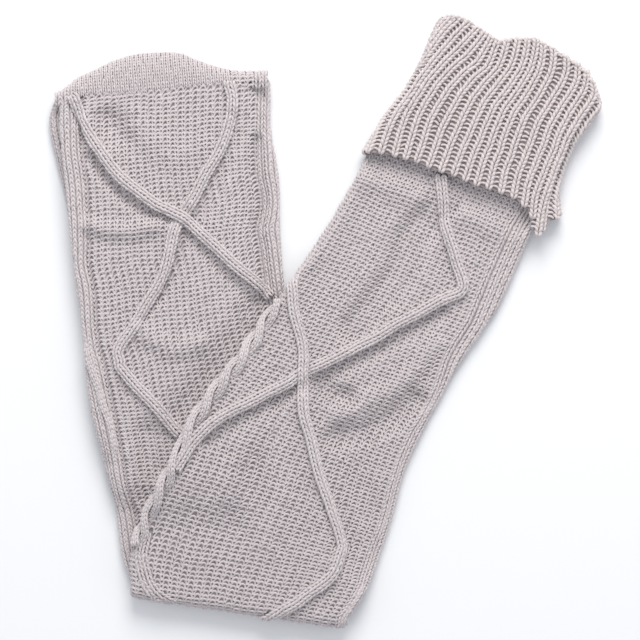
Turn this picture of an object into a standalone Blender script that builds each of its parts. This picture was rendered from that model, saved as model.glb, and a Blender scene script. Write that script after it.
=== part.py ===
"""A cable-knit over-the-knee sock, laid on a table and folded in a V.

Metres, +Z up, the table at Z = 0, and +Y away from the viewer who looks down on it. The ribbed cuff
lies at the back right, turned down over the leg. The upper leg comes forward from it, turns under at a
flat fold at the front, and goes on as the lower leg, which runs back on the left. At the heel the sock
folds again, and the foot lies under the lower leg with its sole on the table.

Lengths are in millimetres, and MM turns them into metres where a mesh is made.
"""

import math

import bmesh
import bpy
import numpy as np

MM = 0.001
# The middle of the outline's box in the sections' own measure, where the origin goes
MIDDLE = (-0.34, 1.63, 0.0)

# The knitted tube, pressed flat, and the space between one piece and the next
GAP = 0.3
WALL = 3.5
TUBE = 2 * WALL
EDGE_ROUND = 5.0
FOOT_THICK = 6.4
CUFF_WALL = 3.1
CUFF_THICK = TUBE + 2 * (CUFF_WALL + GAP)
TOE_END_Y = -86.0
TOE_THINNED = 0.45

# The raised knit
RIB_HEIGHT = 2.4
RIB_HALF = 6.0
BAND_HEIGHT = 1.4
BAND_HALF = 9.0
BAND_IN = 6.5
ROPE_HEIGHT = 2.3
ROPE_HALF = 6.5
ROPE_IN = 5.5
ROPE_TWIST = 18.0
ROPE_SWELL = 0.38
TROUGH_DEPTH = 1.2
TROUGH_HALF = 11.0
CUFF_RIBS = 20
CUFF_GROOVE = 1.5

# Stretches along the strip from its first section where the edge's knit changes
UPPER_ROPE_FROM = (60.0, 90.0)
UPPER_BAND_TO = (150.0, 190.0)
LOWER_ROPE_FROM = (95.0, 110.0)
LOWER_ROPE_TO = (150.0, 165.0)

# How a layer comes down past the edge of what it lies on
DRAPE_INSET = 2.0
DRAPE_RUN = 20.0
DRAPE_SLACK = 0.45
UPPER_SPARE = 2.5

# How far under the upper leg's left edge the lower leg's raised knit dies away, and up to where along Y
COVERED_RUN = (-2.0, 3.0)
COVERED_TO_Y = 25.0

# The cuff's hem on the leg: its middle, the way up the arm from it, and where the leg rises into it
HEM_MIDDLE = (69.0, 77.0)
UP_ARM = (0.35, 0.94)
RISE_INTO_CUFF = (-26.0, -7.0)
PLAIN_BELOW_CUFF = (-9.0, -3.0)

# The cuff's pressed mouth and the lip round it
MOUTH_HALF = 0.8
LIP_ROUND = 3.0
HEM_REACH = 2.0
MOUTH_END_SHAPE = 0.35

# The mesh
STEP_ALONG = 4.9
TOP_POINTS = 29
UNDER_POINTS = 14
PLAIN_STEP = 12.0
TOE_STEP = 6.0
PLAIN_COUNTS = (8, 5)
EDGE_PLACES = (0.0, 0.6, 1.9, 4.0)
FOLD_STEPS = 7
FOLD_LEVEL = 38.0
SHARP_ANGLE = 40

# A section's two ends, seen from above: its left edge's x and y, then its right edge's
LEFT = slice(0, 2)
RIGHT = slice(2, 4)

# left_x, left_y, right_x, right_y
UPPER_LEG = (
    (58.0, 148.3, 141.5, 112.6),
    (46.5, 127.5, 130.2, 93.2),
    (22.9, 92.4, 115.6, 56.1),
    (10.7, 71.2, 105.9, 31.6),
    (-3.0, 48.7, 93.8, 5.8),
    (-21.2, 21.7, 75.6, -20.6),
    (-37.1, -1.9, 63.0, -42.1),
    (-51.4, -21.2, 52.5, -61.9),
    (-66.3, -38.2, 43.7, -81.7),
    (-77.8, -55.3, 39.3, -98.7),
    (-84.4, -73.4, 34.9, -113.6),
    (-98.7, -99.8, 28.3, -133.4),
    (-107.5, -125.7, 21.7, -148.8),
    (-107.5, -144.4, 12.9, -162.0),
)
LOWER_LEG = (
    (-107.5, -144.4, 12.9, -162.0),
    (-113.0, -125.7, 5.2, -138.3),
    (-116.3, -99.8, -1.9, -103.7),
    (-123.5, -72.3, -9.1, -68.5),
    (-130.6, -42.1, -15.7, -31.1),
    (-133.7, -6.3, -21.2, 8.0),
    (-139.2, 33.8, -24.5, 45.9),
    (-143.0, 73.4, -25.6, 81.7),
    (-145.5, 95.4, -29.4, 102.6),
    (-146.9, 111.9, -30.3, 117.4),
    (-146.0, 124.6, -30.0, 134.5),
)
FOOT = (
    (-149.4, 123.9, -48.1, 132.2),
    (-152.9, 112.0, -49.2, 118.0),
    (-149.2, 92.1, -51.4, 95.4),
    (-143.2, 65.2, -53.6, 67.9),
    (-139.4, 37.7, -53.6, 40.4),
    (-135.0, 7.4, -52.5, 7.4),
    (-129.5, -25.6, -48.1, -25.6),
    (-122.9, -53.1, -45.4, -55.8),
)
TOE = (
    (-122.9, -53.1, -45.4, -55.8),
    (-118.0, -66.0, -48.5, -68.0),
    (-110.3, -77.1, -55.3, -78.8),
    (-99.5, -85.2, -66.0, -86.3),
    (-90.5, -88.3, -75.5, -88.8),
)
CUFF = (
    (19.5, 94.9, 131.0, 59.6),
    (32.3, 115.6, 130.0, 76.2),
    (43.0, 129.5, 136.6, 95.4),
    (52.0, 145.5, 144.8, 107.5),
    (56.6, 157.0, 152.2, 118.5),
    (61.9, 168.0, 150.5, 128.4),
)

# How far the cuff's top fold and its hem stand past the straight line between their ends
# share_across, top_out, hem_out
CUFF_EDGE = (
    (0.0, 0.0, 0.0),
    (0.06, 4.4, -1.5),
    (0.14, 5.5, -2.8),
    (0.26, 3.5, -3.4),
    (0.36, 1.8, -2.2),
    (0.44, 6.9, -2.6),
    (0.55, 11.3, -1.0),
    (0.65, 10.7, -1.4),
    (0.76, 9.4, -0.5),
    (0.85, 7.8, 4.0),
    (0.88, 6.9, 8.0),
    (0.905, 6.0, 15.0),
    (0.935, 4.0, 16.0),
    (0.95, 3.2, 5.5),
    (1.0, 0.0, 2.0),
)

# The heel pouch past the lower leg's end
# share_across, out
HEEL = (
    (0.0, 2.6),
    (0.05, 5.0),
    (0.1, 8.8),
    (0.2, 13.5),
    (0.3, 17.8),
    (0.4, 20.0),
    (0.5, 20.0),
    (0.6, 18.5),
    (0.7, 12.6),
    (0.8, 7.9),
    (0.9, 6.0),
    (1.0, 5.5),
)
HEEL_SIDES = 10
HEEL_SECTIONS = 24
HEEL_END_HEIGHT = 0.62
HEEL_FULLNESS = 0.8
HEEL_LINE = (-149.5, 124.3, -31.1, 134.4)

# The travelling ribs' middle lines, seen from above, as (x, y)
UPPER_RIBS = (
    ((64.1, 78.1), (64.4, 67.9), (66.3, 52.5), (71.5, 37.1), (75.4, 24.5), (74.3, 17.9), (63.0, 12.7),
     (33.3, -4.1), (3.6, -19.3), (-12.4, -27.8), (-52.0, -48.4), (-69.0, -60.2), (-81.7, -78.9)),
    ((-18.4, 26.7), (-17.3, 9.1), (-12.4, -17.0), (-11.6, -48.7), (-3.0, -83.3), (2.5, -98.7),
     (8.3, -119.6), (8.5, -125.7), (3.0, -138.9), (-13.5, -151.3), (-30.5, -162.5)),
)
LOWER_RIBS = (
    ((-139.6, 129.5), (-135.0, 115.8), (-124.3, 95.4), (-114.7, 82.5), (-96.0, 67.9), (-84.4, 61.3),
     (-71.2, 52.0), (-30.0, 14.6)),
    ((-52.5, 133.9), (-51.0, 121.0), (-55.8, 100.9), (-72.3, 69.0), (-83.0, 52.0), (-87.7, 29.4),
     (-101.2, 5.8), (-112.5, -12.9), (-112.5, -20.6), (-109.4, -27.8), (-79.5, -60.8)),
)

# A soft trough on the upper leg, as (x, y)
UPPER_TROUGHS = (((63.0, 73.4), (46.0, 50.0), (32.2, 31.1), (24.5, 12.9)),)


def between_rows(rows, at):
    """The rows' values at the row numbers at, which may be fractions, on a smooth curve through them."""
    rows = np.asarray(rows, float)
    at = np.clip(np.asarray(at, float), 0, len(rows) - 1)
    first = np.minimum(at.astype(int), len(rows) - 2)
    f = (at - first)[..., None]
    slope = np.gradient(rows, axis=0)
    a, b = rows[first], rows[first + 1]
    return (
        a * (2 * f**3 - 3 * f**2 + 1)
        + slope[first] * (f**3 - 2 * f**2 + f)
        + b * (3 * f**2 - 2 * f**3)
        + slope[first + 1] * (f**3 - f**2)
    )


def run_along(points):
    """How far each point lies along the line through them all."""
    return np.concatenate([[0], np.cumsum(np.linalg.norm(np.diff(points, axis=0), axis=1))])


def stations(rows, step):
    """(left points, right points) of sections about step apart along a strip's middle line."""
    fine = between_rows(rows, np.linspace(0, len(rows) - 1, 40 * len(rows)))
    run = run_along((fine[:, LEFT] + fine[:, RIGHT]) / 2)
    at = np.linspace(0, run[-1], max(3, round(run[-1] / step) + 1))
    chosen = np.stack([np.interp(at, run, column) for column in fine.T], axis=1)
    return chosen[:, LEFT], chosen[:, RIGHT]


def smooth_step(low, high, value):
    """0 below low, 1 above high, and a soft curve between."""
    t = np.clip((value - low) / (high - low), 0, 1)
    return t * t * (3 - 2 * t)


def outside(rows, x, y):
    """How far a place lies past the nearer side edge of a strip that runs along Y. It is negative inside."""
    fine = between_rows(rows, np.linspace(0, len(rows) - 1, 20 * len(rows)))
    left = fine[np.argsort(fine[:, 1])]
    right = fine[np.argsort(fine[:, 3])]
    left_x = np.interp(y, left[:, 1], left[:, 0])
    right_x = np.interp(y, right[:, 3], right[:, 2])
    return np.maximum(left_x - x, x - right_x)


def drape(past_edge):
    """1 on a layer, 0 well past its edge."""
    return 1 - smooth_step(-DRAPE_INSET, DRAPE_RUN, past_edge)


def rise(thick, share):
    """How high a layer lies that is held up by one this thick, with some slack where it comes down."""
    return (thick + GAP) * share + 4 * DRAPE_SLACK * share * (1 - share)


def lower_base(x, y, spare=0.0):
    """The height of the lower leg's underside, which lies on the foot and comes down past its edges.

    With spare, it comes down that much further out, for a coarser layer above to clear it.
    """
    on_foot = drape(outside(FOOT + TOE[1:3], x, y) - spare) * drape(TOE_END_Y - y - spare)
    return rise(FOOT_THICK, on_foot)


def past_hem(x, y):
    """How far a place lies up the arm from the cuff's hem."""
    return (x - HEM_MIDDLE[0]) * UP_ARM[0] + (y - HEM_MIDDLE[1]) * UP_ARM[1]


def upper_base(x, y):
    """The height of the upper leg's underside: on the lower leg, on the table, then inside the cuff."""
    on_leg = drape(outside(LOWER_LEG, x, y))
    over = lower_base(x, y, UPPER_SPARE) * on_leg + rise(TUBE, on_leg)
    in_cuff = smooth_step(*RISE_INTO_CUFF, past_hem(x, y))
    return np.maximum(over, (CUFF_WALL + GAP) * in_cuff)


def distance_to(line, x, y):
    """How far each place lies from a line of points."""
    line = np.asarray(line, float)
    place = np.stack([x, y], axis=-1)
    nearest = np.full(x.shape, np.inf)
    for a, b in zip(line[:-1], line[1:], strict=True):
        d = b - a
        t = np.clip(((place - a) @ d) / (d @ d), 0, 1)
        nearest = np.minimum(nearest, np.linalg.norm(place - a - t[..., None] * d, axis=-1))
    return nearest


def ridge(far, half):
    """A soft ridge: 1 on its middle line, 0 from half its width on."""
    return 0.5 + 0.5 * np.cos(math.pi * np.clip(far / half, 0, 1))


def along_lines(lines, half, x, y):
    """A soft ridge along each of several lines."""
    return np.max([ridge(distance_to(line, x, y), half) for line in lines], axis=0)


def rope(from_edge, along):
    """The height of a rope cable beside the strip's edge, in one swell for each twist."""
    swell = 1 - ROPE_SWELL * (1 - np.cos(2 * math.pi * along / ROPE_TWIST))
    return ROPE_HEIGHT * swell * ridge(from_edge - ROPE_IN, ROPE_HALF)


def band(from_edge):
    """The height of the plain knit columns beside the strip's edge."""
    return BAND_HEIGHT * ridge(from_edge - BAND_IN, BAND_HALF)


def upper_relief(x, y, from_left, from_right, along):
    """The upper leg's raised knit and its trough. They die away under the cuff."""
    high = RIB_HEIGHT * along_lines(UPPER_RIBS, RIB_HALF, x, y)
    high = np.maximum(high, smooth_step(*UPPER_ROPE_FROM, along) * rope(from_left, along))
    high = np.maximum(high, (1 - smooth_step(*UPPER_BAND_TO, along)) * band(from_right))
    high = high - TROUGH_DEPTH * along_lines(UPPER_TROUGHS, TROUGH_HALF, x, y)
    return high * (1 - smooth_step(*PLAIN_BELOW_CUFF, past_hem(x, y)))


def lower_relief(x, y, from_left, from_right, along):
    """The lower leg's raised knit. It dies away under the upper leg."""
    high = RIB_HEIGHT * along_lines(LOWER_RIBS, RIB_HALF, x, y)
    high = np.maximum(high, np.maximum(band(from_left), band(from_right)))
    roped = smooth_step(*LOWER_ROPE_FROM, along) * (1 - smooth_step(*LOWER_ROPE_TO, along))
    high = np.maximum(high, roped * rope(from_left, along))
    fine = between_rows(UPPER_LEG, np.linspace(len(UPPER_LEG) - 1, 2, 300))
    over_x = np.interp(y, fine[:, 1], fine[:, 0])
    covered = smooth_step(*COVERED_RUN, x - over_x) * (y < COVERED_TO_Y)
    return high * (1 - covered)


def no_relief(x, y, from_left, from_right, along):
    """No raised knit."""
    return np.zeros(x.shape)


def flat_base(x, y):
    """The table."""
    return np.zeros(x.shape)


def ring_places(width, inner_top, inner_under):
    """(places across from the left edge, sides) round a pressed tube: its top left to right, then back."""
    edge = np.array(EDGE_PLACES)
    inner = min(EDGE_ROUND + 2, 0.4 * width)
    top = np.concatenate([edge, np.linspace(inner, width - inner, inner_top), width - edge[::-1]])
    under = np.concatenate([width - edge[1:], np.linspace(width - inner, inner, inner_under), edge[:0:-1]])
    return np.concatenate([top, under]), np.array([1] * len(top) + [-1] * len(under))


def profile(place, width):
    """The share of a pressed tube's half thickness at a place across it."""
    near = np.minimum(place, width - place)
    inner = 1 - np.clip(near / EDGE_ROUND, 0, 1)
    return np.sqrt(np.maximum(1 - inner * inner, 0))


def pressed_tube(rows, base, relief, half, step=STEP_ALONG, counts=(TOP_POINTS, UNDER_POINTS)):
    """Rings of a flattened tube that lies on base, and each ring's run along the strip."""
    left, right = stations(rows, step)
    runs = run_along((left + right) / 2)
    rings = []
    for a, b, run in zip(left, right, runs, strict=True):
        width = float(np.hypot(*(b - a)))
        place, side = ring_places(width, *counts)
        x = a[0] + (b[0] - a[0]) * place / width
        y = a[1] + (b[1] - a[1]) * place / width
        raised = relief(x, y, place, width - place, np.full(place.shape, run))
        share = profile(place, width)
        high = half * (1 + side * share) + np.where(side > 0, raised, 0) * share
        rings.append(np.stack([x, y, base(x, y) + high], axis=1))
    return rings, runs


def add_solid(name, rings, material, closed=False):
    """One body through rings of as many points each. A closed one joins its last ring to its first."""
    count = len(rings[0])
    points = (np.concatenate(rings) - MIDDLE) * MM
    faces = []
    pairs = list(zip(range(len(rings) - 1), range(1, len(rings)), strict=True))
    if closed:
        pairs.append((len(rings) - 1, 0))
    else:
        faces.append(tuple(range(count)))
        last = (len(rings) - 1) * count
        faces.append(tuple(range(last + count - 1, last - 1, -1)))
    for i, j in pairs:
        for k in range(count):
            after = (k + 1) % count
            faces.append((i * count + k, j * count + k, j * count + after, i * count + after))
    mesh = bpy.data.meshes.new(name)
    mesh.from_pydata([tuple(p) for p in points], [], faces)
    work = bmesh.new()
    work.from_mesh(mesh)
    bmesh.ops.recalc_face_normals(work, faces=work.faces)
    work.to_mesh(mesh)
    work.free()
    mesh.shade_smooth()
    mesh.set_sharp_from_angle(angle=math.radians(SHARP_ANGLE))
    mesh.materials.append(material)
    SOCK.objects.link(bpy.data.objects.new(name, mesh))


def yarn_material(name, colour, roughness):
    """Plain wool, matt."""
    material = bpy.data.materials.new(name)
    material.use_nodes = True
    shader = material.node_tree.nodes["Principled BSDF"]
    shader.inputs["Base Color"].default_value = (*colour, 1)
    shader.inputs["Roughness"].default_value = roughness
    shader.inputs["Metallic"].default_value = 0.0
    material.diffuse_color = (*colour, 1)
    return material


def unit(v):
    """A vector of length one the same way."""
    return v / np.hypot(*v)


def turned_under(start, outward, height):
    """Rings that take the last ring of a strip half a turn round the fold line below it.

    The raised knit on it flattens out on the way, so that the fold lies flat on the table.
    """
    rings = []
    for step in range(1, FOLD_STEPS + 1):
        angle = math.pi * step / FOLD_STEPS
        reach = start[:, 2] - height
        raised = np.maximum(reach - height, 0)
        reach = reach - raised * (1 - max(math.cos(angle), 0))
        moved = start.copy()
        moved[:, 0] += outward[0] * reach * math.sin(angle)
        moved[:, 1] += outward[1] * reach * math.sin(angle)
        moved[:, 2] = height + reach * math.cos(angle)
        rings.append(moved)
    return rings


def build_upper_leg():
    """The leg from inside the cuff to the front fold, and half a turn round that fold."""
    rings, _ = pressed_tube(UPPER_LEG, upper_base, upper_relief, WALL)
    fold = np.array(UPPER_LEG[-1])
    across = unit(fold[RIGHT] - fold[LEFT])
    outward = np.array([across[1], -across[0]])
    for ring in rings:
        to_fold = (fold[LEFT] - ring[:, :2]) @ outward
        near = 1 - smooth_step(0.0, FOLD_LEVEL, to_fold)
        ring[:, 2] += near * (TUBE + GAP - upper_base(ring[:, 0], ring[:, 1]))
    add_solid("upper_leg", rings + turned_under(rings[-1], outward, TUBE + GAP / 2), YARN)


def build_lower_leg():
    """The leg from the front fold back to the heel, on the table and then on the foot."""
    rows = np.array(LOWER_LEG)
    rows[0, 1] += GAP
    rows[0, 3] += GAP
    rings, _ = pressed_tube(rows, lower_base, lower_relief, WALL)
    add_solid("lower_leg", rings, YARN)


def build_foot():
    """The foot under the lower leg, its sole flat on the table."""
    rings, _ = pressed_tube(FOOT, flat_base, no_relief, FOOT_THICK / 2, PLAIN_STEP, PLAIN_COUNTS)
    add_solid("foot", rings, YARN)


def build_toe():
    """The closed toe, drawn in to a blunt end."""
    rows = np.array(TOE)
    rows[0, 1] -= GAP
    rows[0, 3] -= GAP
    rings, runs = pressed_tube(rows, flat_base, no_relief, FOOT_THICK / 2, TOE_STEP, PLAIN_COUNTS)
    for ring, run in zip(rings, runs, strict=True):
        ring[:, 2] *= 1 - TOE_THINNED * smooth_step(0.45, 1.0, run / runs[-1])
    add_solid("toe", rings, YARN)


def build_heel():
    """The heel pouch: half-round sections from side to side, standing past the end of the leg and foot."""
    a, b = np.array(HEEL_LINE[LEFT]), np.array(HEEL_LINE[RIGHT])
    across = unit(b - a)
    width = np.hypot(*(b - a))
    outward = np.array([-across[1], across[0]])
    shares, outs = np.array(HEEL).T
    half = (FOOT_THICK + GAP + TUBE) / 2
    angles = np.linspace(math.pi / 2, -math.pi / 2, HEEL_SIDES + 1)
    ends_round = np.abs(np.cos(angles)) ** HEEL_FULLNESS
    ends_round[[0, -1]] = 0
    rings = []
    for share in np.concatenate([[0.0, 0.012], np.linspace(0.04, 0.96, HEEL_SECTIONS), [0.988, 1.0]]):
        full = HEEL_END_HEIGHT + (1 - HEEL_END_HEIGHT) * profile(share * width, width)
        reach = GAP + np.interp(share, shares, outs) * ends_round
        x, y = (a + (b - a) * share)[:, None] + outward[:, None] * reach
        rings.append(np.stack([x, y, half * (1 + full * np.sin(angles))], axis=1))
    add_solid("heel", rings, YARN)


def cuff_places():
    """(shares across, sides) round the cuff: three points a rib on top, and fewer underneath."""
    ribs = np.arange(CUFF_RIBS)
    top = np.sort(np.concatenate([ribs[1:], ribs + 0.3, ribs + 0.7]) / CUFF_RIBS)
    top = np.concatenate([[0.0, 0.006], top, [0.994, 1.0]])
    under = np.concatenate([[0.994, 0.98], np.linspace(0.95, 0.05, 15), [0.02, 0.006]])
    return np.concatenate([top, under]), np.array([1] * len(top) + [-1] * len(under))


def cuff_ring(chord, up_arm, half, top_shift, hem_shift, ribbed=False):
    """One ring of the cuff's wall, half its height above and below the middle. The shifts, 0 to 1, say
    how much of the top fold's and the hem's outline it takes on.
    """
    share, side = cuff_places()
    a, b = chord[LEFT], chord[RIGHT]
    width = np.hypot(*(b - a))
    shares, top_out, hem_out = np.array(CUFF_EDGE).T
    shift = top_shift * np.interp(share, shares, top_out)
    shift = shift - hem_shift * np.interp(share, shares, hem_out) * (side > 0)
    x, y = (a + (b - a) * share[:, None] + up_arm * shift[:, None]).T
    from_edge = np.minimum(share, 1 - share) * width
    high = side * half * np.sqrt(1 - (1 - np.clip(from_edge / (half + 1), 0, 1)) ** 2)
    if ribbed:
        groove = (0.5 + 0.5 * np.cos(2 * math.pi * CUFF_RIBS * share)) ** 2 * (side > 0)
        high = high - CUFF_GROOVE * groove * smooth_step(0.01, 0.05, np.minimum(share, 1 - share))
    return np.stack([x, y, CUFF_THICK / 2 + high], axis=1)


def inset(chord, by):
    """A section with both its ends drawn in."""
    across = unit(chord[RIGHT] - chord[LEFT])
    return chord + np.concatenate([across * by, -across * by])


def build_cuff():
    """The turned-down cuff: up its ribbed outside, over the fold, down the mouth and round the leg."""
    rows = np.array(CUFF)
    top = rows[-1]
    across = unit(top[RIGHT] - top[LEFT])
    up_arm = np.array([-across[1], across[0]])
    half = CUFF_THICK / 2
    rings = []
    for at in (0.0, 0.5, 1.0, 1.6, 2.2, 2.8, 3.4, 4.0, 4.5, 5.0):
        hem = 1 - smooth_step(0.0, HEM_REACH, at)
        rings.append(cuff_ring(between_rows(rows, at), up_arm, half, smooth_step(1.5, 5.0, at), hem, True))
    for out, thick in ((0.7, half * 0.83), (1.0, half * 0.5), (0.4, MOUTH_HALF)):
        chord = inset(top, (half - thick) * 0.6) + np.tile(up_arm * LIP_ROUND * out, 2)
        rings.append(cuff_ring(chord, up_arm, thick, 1.0, 0.0))
    leg_half = WALL + GAP
    mouth_end = np.array(UPPER_LEG[0]) + np.tile(up_arm * GAP, 2)
    rings.append(cuff_ring(inset(mouth_end, 1.0), up_arm, MOUTH_HALF, MOUTH_END_SHAPE, 0.0))
    rings.append(cuff_ring(inset(mouth_end, -2 * GAP), up_arm, leg_half, 0.0, 0.0))
    for at in (4.0, 3.0, 2.0, 1.0, 0.0):
        hem = 1 - smooth_step(0.0, HEM_REACH, at)
        rings.append(cuff_ring(inset(between_rows(rows, at), CUFF_WALL), up_arm, leg_half, 0.0, hem))
    add_solid("cuff", rings, RIB_YARN, closed=True)


for old in list(bpy.data.objects):
    bpy.data.objects.remove(old)
SOCK = bpy.data.collections.new("over_the_knee_sock")
bpy.context.scene.collection.children.link(SOCK)
YARN = yarn_material("greige_wool", (0.46, 0.41, 0.39), 0.95)
RIB_YARN = yarn_material("greige_wool_ribbed", (0.45, 0.40, 0.38), 0.95)

build_upper_leg()
build_lower_leg()
build_heel()
build_foot()
build_toe()
build_cuff()
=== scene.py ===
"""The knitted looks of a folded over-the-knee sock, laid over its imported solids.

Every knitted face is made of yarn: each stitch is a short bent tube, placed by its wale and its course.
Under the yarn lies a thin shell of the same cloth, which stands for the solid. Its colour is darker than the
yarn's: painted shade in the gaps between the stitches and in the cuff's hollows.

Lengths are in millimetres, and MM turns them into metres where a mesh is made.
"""

import math

import bpy
import numpy as np
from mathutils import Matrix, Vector

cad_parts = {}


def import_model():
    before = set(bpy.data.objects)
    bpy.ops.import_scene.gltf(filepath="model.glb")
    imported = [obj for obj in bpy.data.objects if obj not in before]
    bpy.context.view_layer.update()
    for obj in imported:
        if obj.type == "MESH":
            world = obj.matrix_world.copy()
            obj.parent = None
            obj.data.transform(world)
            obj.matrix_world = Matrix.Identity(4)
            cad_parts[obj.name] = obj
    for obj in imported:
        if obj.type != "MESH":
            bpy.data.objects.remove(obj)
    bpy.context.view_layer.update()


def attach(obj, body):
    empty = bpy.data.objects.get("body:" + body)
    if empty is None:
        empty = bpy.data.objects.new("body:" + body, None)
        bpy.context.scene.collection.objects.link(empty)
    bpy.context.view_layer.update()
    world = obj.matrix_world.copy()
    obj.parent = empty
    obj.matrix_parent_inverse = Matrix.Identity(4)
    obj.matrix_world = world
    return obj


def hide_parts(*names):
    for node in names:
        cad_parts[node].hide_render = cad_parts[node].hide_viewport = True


MM = 0.001
MIDDLE = np.array((-0.34, 1.63, 0.0))

# The knitted tube, pressed flat, as in the solids
GAP = 0.3
WALL = 3.5
TUBE = 2 * WALL
EDGE_ROUND = 5.0
FOOT_THICK = 6.4
CUFF_WALL = 3.1
CUFF_THICK = TUBE + 2 * (CUFF_WALL + GAP)
TOE_END_Y = -86.0
FOLD_HEIGHT = TUBE + GAP / 2
DRAPE_INSET = 2.0
DRAPE_RUN = 20.0
DRAPE_SLACK = 0.45
FOLD_LEVEL = 38.0
HEM_MIDDLE = (69.0, 77.0)
UP_ARM = (0.35, 0.94)
RISE_INTO_CUFF = (-26.0, -7.0)
HEEL_LINE = (-149.5, 124.3, -31.1, 134.4)
HEEL_END_HEIGHT = 0.62
HEEL_FULLNESS = 0.8

# How the wool takes the light, and how dark its darkest tone is
WOOL_DARKEST = 0.82
WOOL_SURFACE = {"Roughness": 0.92, "Specular IOR Level": 0.18, "Sheen Weight": 0.25, "Sheen Roughness": 0.6}

# The light and the camera. The places of both are in metres, and the camera looks straight down
KEY_PLACE = (0.1, 1.25, 1.0)
KEY_SIZE = 1.0
KEY_POWER = 22.0
KEY_COLOUR = (1.0, 0.98, 0.95)
ROOM_LIGHT = 0.78
ROOM_COLOUR = (0.92, 0.95, 1.0, 1)
FLOOR_COLOUR = (0.85, 0.853, 0.865, 1)
CAMERA_OVER = (np.array((-3.03, 1.93, 0.0)) - MIDDLE) * MM
CAMERA_HEIGHT = 1.51
CAMERA_LENS = 153.4

# The grids of cloth that the yarn is placed on, and how deep under them the shells lie
STEP = 1.5
ROUND_POINTS = 160
FOLD_STEPS = 14
HEEL_ROWS = 33
HEEL_COLUMNS = 97
SHELL_DEPTH = 1.5
THIN_SHELL_DEPTH = 1.2

# The knit. A wale is one column of stitches, and a course is one row of them. The rough stitches lean to
# one side by a share of their wale
COURSE = 2.45
WALE = 4.05
LOOP_HALF = 1.62
PURL_YARN = 0.72
UPPER_LEAN = 0.01
LOWER_LEAN = 0.08
KNIT_YARN = 0.69
RIB_WALE = 3.9
GUIDE_STEP = 0.6
YARN_SIDES = 5
QUADS_A_PIECE = 95000
POINTS_AT_ONCE = 1500

# The travelling ribs, each of two wales on a swell of the cloth
RIB_BEND = 5.2
RIB_HIGH = 2.1
RIB_WANDER = 0.35
RIB_SWELL = 1.3
RIB_SWELL_HALF = 7.0
RAISED_WALE = 4.4
RAISED_YARN = 0.76

# The bands of plain columns at the edges, with a sunken column in their groove. They stop a little short of
# the cloth's last row
BAND_ROW_STEP = 0.8
SHORT_OF_END = 1.1
IN_GROOVE_SUNK = 0.5

# The rope, of two plies that are twisted about its middle line, each of two wales
ROPE_WALE = 3.5
ROPE_YARN = 0.66
ROPE_HALF_TWIST = 2.7
ROPE_MIDDLE_HIGH = 0.7
ROPE_SWELL = 1.9
ROPE_TILT = 0.16
PLY_BEND = 3.4
PLY_HIGH = 1.1

# The edge columns where they cross
CROSSING_WALE = 3.0
CROSSING_YARN = 0.68
CROSSING_HIGH = 1.2

# How near the rough stitches come to the middle of a rib, of the rope and of a plain column
CLEAR_OF_RIB = 2.0
CLEAR_OF_ROPE = 1.5
CLEAR_OF_COLUMN = 0.9

# How far the rough stitches go on into the cuff and under the upper leg, the Y from which the upper leg
# no longer lies over the lower one, and how many wales of them go round the upper leg's left edge
PURL_INTO_CUFF = 12.0
PURL_UNDER_LEG = 16.0
UNCOVERED_FROM_Y = 60.0
WALES_ROUND_LEFT_EDGE = 3

# The heel: its fine knit, which runs between two shares of the way across, the share of its right end that
# shows rough stitches, and how far its cloth goes on down the leg, sinking as it goes
HEEL_WALE = 2.5
HEEL_STITCH = {"course": 1.9, "yarn": 0.48, "sink": 0.3, "deep": 1.0, "points": 5}
HEEL_FINE = (0.09, 0.82)
HEEL_PURL_SHARE = 0.62
HEEL_OVERLAP = 5.0
HEEL_LEAST_OVERLAP = 1.8
HEEL_START_HIGH = 0.3
HEEL_OVERLAP_SUNK = 1.4

# The columns of a table of sections that say where their left and right ends are
LEFT = slice(0, 2)
RIGHT = slice(2, 4)

# left_x, left_y, right_x, right_y
UPPER_LEG = (
    (58.0, 148.3, 141.5, 112.6),
    (46.5, 127.5, 130.2, 93.2),
    (22.9, 92.4, 115.6, 56.1),
    (10.7, 71.2, 105.9, 31.6),
    (-3.0, 48.7, 93.8, 5.8),
    (-21.2, 21.7, 75.6, -20.6),
    (-37.1, -1.9, 63.0, -42.1),
    (-51.4, -21.2, 52.5, -61.9),
    (-66.3, -38.2, 43.7, -81.7),
    (-77.8, -55.3, 39.3, -98.7),
    (-84.4, -73.4, 34.9, -113.6),
    (-98.7, -99.8, 28.3, -133.4),
    (-107.5, -125.7, 21.7, -148.8),
    (-107.5, -144.4, 12.9, -162.0),
)
LOWER_LEG = (
    (-107.5, -144.4, 12.9, -162.0),
    (-113.0, -125.7, 5.2, -138.3),
    (-116.3, -99.8, -1.9, -103.7),
    (-123.5, -72.3, -9.1, -68.5),
    (-130.6, -42.1, -15.7, -31.1),
    (-133.7, -6.3, -21.2, 8.0),
    (-139.2, 33.8, -24.5, 45.9),
    (-143.0, 73.4, -25.6, 81.7),
    (-145.5, 95.4, -29.4, 102.6),
    (-146.9, 111.9, -30.3, 117.4),
    (-146.0, 124.6, -30.0, 134.5),
)
FOOT = (
    (-149.4, 123.9, -48.1, 132.2),
    (-152.9, 112.0, -49.2, 118.0),
    (-149.2, 92.1, -51.4, 95.4),
    (-143.2, 65.2, -53.6, 67.9),
    (-139.4, 37.7, -53.6, 40.4),
    (-135.0, 7.4, -52.5, 7.4),
    (-129.5, -25.6, -48.1, -25.6),
    (-122.9, -53.1, -45.4, -55.8),
)
TOE = (
    (-122.9, -53.1, -45.4, -55.8),
    (-118.0, -66.0, -48.5, -68.0),
    (-110.3, -77.1, -55.3, -78.8),
    (-99.5, -85.2, -66.0, -86.3),
    (-90.5, -88.3, -75.5, -88.8),
)
CUFF = (
    (19.5, 94.9, 131.0, 59.6),
    (32.3, 115.6, 130.0, 76.2),
    (43.0, 129.5, 136.6, 95.4),
    (52.0, 145.5, 144.8, 107.5),
    (56.6, 157.0, 152.2, 118.5),
    (61.9, 168.0, 150.5, 128.4),
)

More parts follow.
